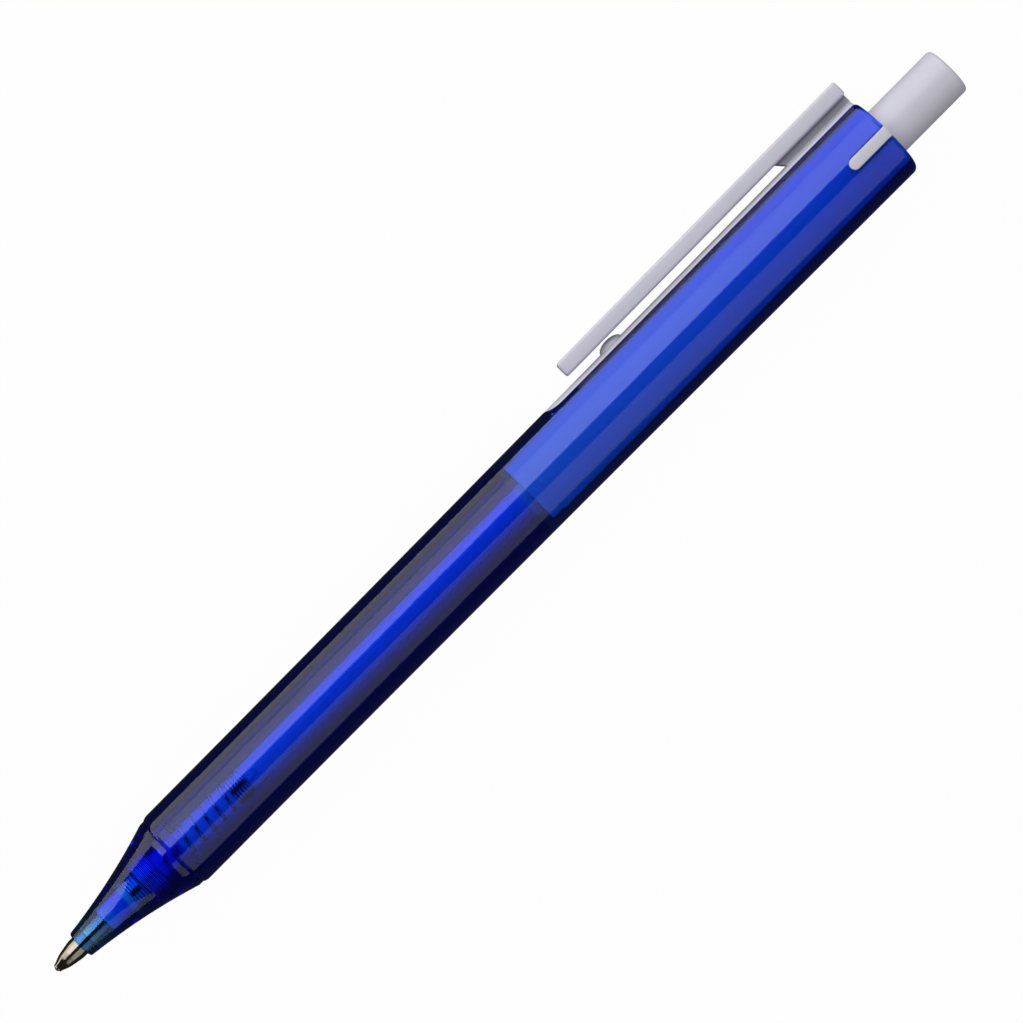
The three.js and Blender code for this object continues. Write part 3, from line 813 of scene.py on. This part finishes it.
class PEN_OT_clip(PenOperator, bpy.types.Operator):
    """Build the whole clip in one piece: strip, bump, web and the arm that bends away"""

    bl_idname = "pen.clip"
    bl_label = "Clip"

    def build(self, scene):
        sizes = scene.pen_clip
        barrel = scene.pen_barrel
        arm_front = stations("clip_arm")[0]
        rim = stations("barrel")[1]
        arm_rear = rim - 0.05 * MM

        def under(station):
            """Height of the arm's underside."""
            share = (station - arm_front) / (arm_rear - arm_front)
            return barrel.rim_radius + sizes.arm_front_gap + (sizes.arm_rear_gap - sizes.arm_front_gap) * share

        def over(station):
            """Height of the arm's top."""
            return under(station) + sizes.arm_thickness

        def outside(station):
            """Radius of the strip's top: under the barrel's, less the drop times a share squared.

            The share runs from 0 to 1 over the drop's length, and ends half that length before the rim.
            """
            sunk, drop, drop_length = 0.02 * MM, 0.25 * MM, 0.5 * MM
            slope = np.clip((station - rim) / drop_length + 1.5, 0, 1)
            return swell(station) - sunk - drop * slope**2

        arm = bar(arm_front, arm_rear, under, over, sizes.arm_width / 2, sizes.arm_edge)
        end_fit, side_fit, sleeve_fit = 0.08 * MM, 0.14 * MM, 0.03 * MM
        strip = slot_filler(
            rim - barrel.clip_slot_length + end_fit,
            rim - 0.25 * MM,
            barrel.clip_slot_width / 2 - side_fit,
            outside,
            sizes.sleeve_radius + sleeve_fit,
            0,
        )
        web_front, web_rear, slant, overlap = rim - 11.25 * MM, rim - 0.2 * MM, 1.25 * MM, 0.4 * MM
        web_base = barrel.rim_radius - 0.6 * MM
        web = prism(
            [
                [web_front + slant, web_base],
                [web_rear, web_base],
                [web_rear, under(web_rear) + overlap],
                [web_front - overlap, under(web_front) + overlap],
            ],
            sizes.web_width / 2,
        )
        bump_station, bump_half_width = arm_front + 6 * MM, 1 * MM
        bump_base = swell(bump_station) - 0.15 * MM
        bump_height = under(bump_station) - sizes.bump_gap - bump_base
        bump = dome(bump_station, bump_base, sizes.bump_length / 2, bump_half_width, bump_height)
        grey = scene.pen_colours.grey
        # The web is painted a darker grey: painted shade that stands for the arm's shade over it
        web_painted_shade = (shade(grey, 0.58), barrel.rim_radius + 0.05 * MM, under(web_rear), web_front - 0.5 * MM)
        finish = moulded_finish("light_grey_moulding", grey, roughness=0.38, grain=2400, coat=0.3, band=web_painted_shade)
        clip = piece("clip_grey", joined(arm, strip, web, bump), finish, None,
                     ["clip_root", "clip_arm"])
        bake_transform(clip)


class PEN_OT_button(PenOperator, bpy.types.Operator):
    """Build the push button with its plunger"""

    bl_idname = "pen.button"
    bl_label = "Push button"

    def build(self, scene):
        sizes = scene.pen_clip
        front, end = stations("push_button")
        shank = stations("barrel")[1] - 12.15 * MM
        radius, tail, plunger, crown, pole = sizes.button_radius, 1.3 * MM, 2.3 * MM, 0.04 * MM, 0.02 * MM
        profile = rounded(
            [[front, tail], [front, plunger], [shank, plunger], [shank, radius], [end - crown, radius], [end, pole]],
            [0.05 * MM, 0, 0.2 * MM, sizes.button_edge],
        )
        fin_front, fin_rear, fin_root, fin_top = front + 1.2 * MM, front + 3.8 * MM, 2 * MM, 3.38 * MM
        half_width, edge = 0.6 * MM, 0.08 * MM
        fin = bar(fin_front, fin_rear, level(fin_root), level(fin_top), half_width, edge)
        fins = [spun(fin, quarter * math.pi / 2) for quarter in range(4)]
        shape = joined(rod(profile, 128), *fins)
        finish = moulded_finish("button_grey_moulding", scene.pen_colours.grey, roughness=0.42, grain=2400, coat=0.2)
        piece("push_button_grey", shape, finish, "button", ["push_button"])


class PEN_OT_refill(PenOperator, bpy.types.Operator):
    """Build the refill's tube, tip holder, nib and ball"""

    bl_idname = "pen.refill"
    bl_label = "Refill"

    def build(self, scene):
        for part in (self.tube, self.holder, self.nib):
            part(scene.pen_refill, scene.pen_colours)

    def tube(self, sizes, colours):
        front, tail = stations("refill_tube")
        edge = 0.06 * MM
        outer = rounded(
            [[front, sizes.tube_bore], [front, sizes.tube_radius], [tail, sizes.tube_radius], [tail, sizes.tube_bore]],
            [edge, edge],
        )
        inner = [[front, sizes.tube_bore], [tail, sizes.tube_bore]]
        spring_end = stations("spring")[1]
        reach, half_width, ear_edge = 2.1 * MM, 0.45 * MM, 0.2 * MM
        ears = spun(
            bar(spring_end + 0.05 * MM, spring_end + 1.5 * MM, level(-reach), level(reach), half_width, ear_edge),
            math.pi / 2,
        )
        finish = moulded_finish("tube_white", colours.tube, roughness=0.3, grain=1500, coat=0.3)
        shape = joined(wall(outer, inner, sizes.sides), ears)
        piece("refill_tube_white", shape, finish, "refill", ["refill_tube"])

    def holder(self, sizes, colours):
        front, end = stations("tip_holder")
        shoulder = stations("refill_tube")[0] - 0.02 * MM
        stem = sizes.tube_bore - 0.1 * MM
        radius, bore = sizes.holder_radius, 0.75 * MM
        outer = rounded(
            [[front, bore], [front, radius], [shoulder, radius], [shoulder, stem], [end, stem], [end, bore]],
            [0.15 * MM, 0.05 * MM, 0, 0.05 * MM],
        )
        finish = moulded_finish("holder_white", colours.tube, roughness=0.3, grain=1500, coat=0.3)
        shape = wall(outer, [[front, bore], [end, bore]], sizes.sides)
        piece("tip_holder_white", shape, finish, "refill", ["tip_holder"])

    def nib(self, sizes, colours):
        stem_end = stations("nib")[1]
        shank_end = stations("tip_holder")[0] - 0.02 * MM
        lip, ball_radius, cone, radius = 0.28 * MM, sizes.ball_radius, sizes.nib_cone, sizes.nib_radius
        lip_radius, stem, ink_bore, socket_end = ball_radius + 0.07 * MM, 0.6 * MM, 0.3 * MM, 1.05 * MM
        knots = [0.5 * MM, 0.42 * cone, 0.75 * cone, cone]
        flank = rounded(
            np.column_stack([knots, [lip_radius, 0.73 * radius, 0.89 * radius, radius]]), [4 * MM, 2.5 * MM], 8
        )
        outer = np.concatenate([
            [[lip, ball_radius - 0.01 * MM], [lip - 0.02 * MM, ball_radius + 0.03 * MM]],
            flank,
            rounded(
                [[cone, radius], [shank_end, radius], [shank_end, stem], [stem_end, stem]],
                [0.1 * MM, 0],
            )[1:],
        ])
        socket = ball_radius + 0.03 * MM
        inner = [[0.48 * MM, socket], [socket_end, socket], [socket_end, ink_bore], [stem_end, ink_bore]]
        metal = turned_metal_finish("nickel_silver", colours.nickel, roughness=0.1, ring_pitch=0.09 * MM)
        piece("nib_metal", wall(outer, inner, sizes.sides), metal, "refill", ["nib"])
        bright = turned_metal_finish("ball_metal", shade(colours.nickel, 1.05), roughness=0.16, ring_pitch=0.2 * MM)
        piece("writing_ball_metal", ball(ball_radius, ball_radius), bright, "ball", ["writing_ball"])


class PEN_OT_spring(PenOperator, bpy.types.Operator):
    """Build the spring with its closed ends"""

    bl_idname = "pen.spring"
    bl_label = "Spring"

    def build(self, scene):
        sizes = scene.pen_refill
        front, rear = stations("spring")
        wire = sizes.wire_radius
        stops = [front + wire, front + sizes.front_curls - wire, rear - sizes.rear_curls + wire, rear - wire]
        front_turns = (stops[1] - stops[0]) / sizes.end_pitch
        rear_turns = (stops[3] - stops[2]) / sizes.end_pitch
        knots = np.cumsum([0, front_turns, sizes.open_curls, rear_turns])
        # The wire runs on for a part of a turn, flat at its rear end
        run_on, steps_per_turn = 0.3, 28
        turns = np.linspace(0, knots[-1] + run_on, int(knots[-1] * steps_per_turn))
        station = np.interp(turns, knots, stops)
        radius = sizes.tube_radius + wire + 0.05 * MM
        angle = 2 * math.pi * (turns + sizes.start_turn)
        path = np.column_stack([station, radius * np.cos(angle), -radius * np.sin(angle)])
        steel = turned_metal_finish("spring_wire", scene.pen_colours.steel, roughness=0.16, ring_pitch=0.5 * MM)
        spring = piece("spring_wire", tube_along(path, wire), steel, None, ["spring"], sharp=50)
        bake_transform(spring)


class PEN_OT_inner(PenOperator, bpy.types.Operator):
    """Finish the cam, the ink and the grease, whose solids stay"""

    bl_idname = "pen.inner"
    bl_label = "Inner pieces"

    def build(self, scene):
        finishes = {
            "cam_rotor": moulded_finish("cam_white", scene.pen_colours.white, roughness=0.5, grain=2600),
            "ink_column": ink_finish("ink_blue", (0.02, 0.05, 0.5)),
            "ink_follower": ink_finish("grease_pale", (0.75, 0.78, 0.68)),
        }
        for node, finish in finishes.items():
            data = frame["nodes"][node].data
            data.materials.clear()
            data.materials.append(finish)


class PEN_OT_stage(PenOperator, bpy.types.Operator):
    """Set the floor, the lamps and the camera"""

    bl_idname = "pen.stage"
    bl_label = "Stage"

    # In metres; lamp_shift is how far the lamps' middle lies behind the pen's
    reach, lamp_distance, lamp_length, lamp_shift = 1.5, 0.6, 1.02, 0.08

    def build(self, scene):
        self.floor()
        self.lamps(scene)
        self.camera(scene)
        scene.view_settings.view_transform = "Standard"

    def floor(self):
        """The floor, and a glowing card at the clip's side that the clear pieces reflect and that lights the pen."""
        reach, lift = self.reach, 0.0001
        # Off camera the floor is near black: painted shade for the dark round and under the pen, in gloss and glass
        self.sheet("floor", front=-reach, low=-reach, high=reach, height=0, pale=0.005, glossy=0.015, lit=0)
        self.sheet("clip_side_card", front=-0.43, low=0.011, high=0.6, height=lift, pale=0.8, glossy=1.0, lit=0.6)

    def sheet(self, name, front, low, high, height, pale, glossy, lit):
        """A flat plain sheet between two places across the pen, white to the camera, with a faint shadow.

        Pale is its colour to all but the camera; glossy and lit are its shares of white in gloss and soft light.
        """
        rear = self.reach
        corners = [(front, low, height), (rear, low, height), (rear, high, height), (front, high, height)]
        mesh = bpy.data.meshes.new(name)
        mesh.from_pydata(corners, [], [(0, 1, 2, 3)])
        obj = bpy.data.objects.new(name, mesh)
        bpy.context.scene.collection.objects.link(obj)
        finish = finish_of(name + "_pale")
        unseen = finish.backdrop_share(0, 1, 1)
        # Pale is near black on the floor: a painted shade that reflections and the clear pieces show
        colour = finish.blend(unseen, (0.8,) * 3, (pale,) * 3)
        surface = finish.node("ShaderNodeBsdfPrincipled", {}, Base_Color=colour, Roughness=0.3, IOR=1.2)
        # The glow is 1 to the camera and 1.5 to all else
        strength = 1.5 - finish.backdrop_share(0.5, 0, 0)
        glow = finish.node("ShaderNodeEmission", {}, Color=(1, 1, 1, 1), Strength=strength)
        share = finish.backdrop_share(0.975, glossy, 0.003, lit)
        mesh.materials.append(finish.output(finish.node("ShaderNodeMixShader", {}, share, surface, glow)))

    def lamps(self, scene):
        """The world, white to the camera and dusky to all else, and the two softboxes."""
        world = scene.world or bpy.data.worlds.new("world")
        scene.world = world
        finish = Finish(world)
        unseen = finish.backdrop_share(0, 1, 1)
        dusk = finish.blend(unseen, (0.25,) * 3, (0.012,) * 3)
        sky = finish.node("ShaderNodeBackground", {}, Color=dusk, Strength=1.0)
        glow = finish.node("ShaderNodeBackground", {}, Color=(1, 1, 1, 1), Strength=1.0)
        mixed = finish.node("ShaderNodeMixShader", {}, finish.backdrop_share(1.0, 0.015, 0.004), sky, glow)
        finish.node("ShaderNodeOutputWorld", {}, Surface=mixed)
        self.softbox(scene, "clip_side_softbox", start=12, end=63, brightness=2.1)
        self.softbox(scene, "far_side_softbox", start=-22, end=-80, brightness=0.6)

    def softbox(self, scene, name, start, end, brightness):
        """A long lamp beside the pen.

        Start and end are the angles between which it lies, in degrees from the camera's direction, positive
        towards the clip's side: its width is twice the distance times the tangent of half the angle between them.
        """
        angle, half = math.radians(start + end) / 2, math.radians(abs(end - start)) / 2
        distance = self.lamp_distance
        away = math.cos(angle) * FACING + math.sin(angle) * CLIPWARD
        middle = to_row([[PEN_LENGTH / 2 + self.lamp_shift, 0, 0]])[0]
        lamp = bpy.data.lights.new(name, "AREA")
        lamp.shape = "RECTANGLE"
        lamp.size = self.lamp_length
        lamp.size_y = 2 * distance * math.tan(half)
        lamp.energy = brightness * math.pi * lamp.size * lamp.size_y
        obj = bpy.data.objects.new(name, lamp)
        across = np.cross(away, ALONG)
        basis = Matrix(np.stack([ALONG, across, away], 1).tolist()).to_4x4()
        obj.matrix_world = Matrix.Translation(Vector(middle + distance * away)) @ basis
        obj.visible_camera = False
        scene.collection.objects.link(obj)

    def camera(self, scene):
        """The camera looks along the facing direction, with the pen leaning across the picture."""
        stage = scene.pen_stage
        cosine, sine = math.cos(stage.lean), math.sin(stage.lean)
        right = cosine * ALONG - sine * CLIPWARD
        up = sine * ALONG + cosine * CLIPWARD
        aim_height = -0.0001
        aim = to_row([[stage.aim, aim_height, 0]])[0]
        data = bpy.data.cameras.new("camera")
        data.sensor_width = 36
        data.lens = data.sensor_width * stage.distance / stage.frame_width
        data.clip_start = 0.01
        camera = bpy.data.objects.new("camera", data)
        basis = Matrix(np.stack([right, up, FACING], 1).tolist()).to_4x4()
        camera.matrix_world = Matrix.Translation(Vector(aim + stage.distance * FACING)) @ basis
        scene.collection.objects.link(camera)
        scene.camera = camera


class PEN_PT_panel(bpy.types.Panel):
    """The pen's operators"""

    bl_label = "Pen"
    bl_idname = "PEN_PT_panel"
    bl_space_type = "VIEW_3D"
    bl_region_type = "UI"
    bl_category = "Pen"

    def draw(self, context):
        for operator in OPERATORS:
            self.layout.operator(operator.bl_idname)


GROUPS = {
    "pen_barrel": BarrelSizes,
    "pen_refill": RefillSizes,
    "pen_clip": ClipSizes,
    "pen_colours": FinishColours,
    "pen_stage": StageSettings,
}
OPERATORS = (
    PEN_OT_stage,
    PEN_OT_barrel,
    PEN_OT_nose,
    PEN_OT_sleeve,
    PEN_OT_clip,
    PEN_OT_button,
    PEN_OT_refill,
    PEN_OT_spring,
    PEN_OT_inner,
)


def register():
    for cls in (*GROUPS.values(), *OPERATORS, PEN_PT_panel):
        bpy.utils.register_class(cls)
    for name, group in GROUPS.items():
        setattr(bpy.types.Scene, name, PointerProperty(type=group))


def unregister():
    for name in GROUPS:
        delattr(bpy.types.Scene, name)
    for cls in (PEN_PT_panel, *OPERATORS, *GROUPS.values()):
        bpy.utils.unregister_class(cls)


def main():
    register()
    for operator in OPERATORS:
        getattr(bpy.ops.pen, operator.bl_idname.split(".")[1])()


if __name__ == "__main__":
    main()
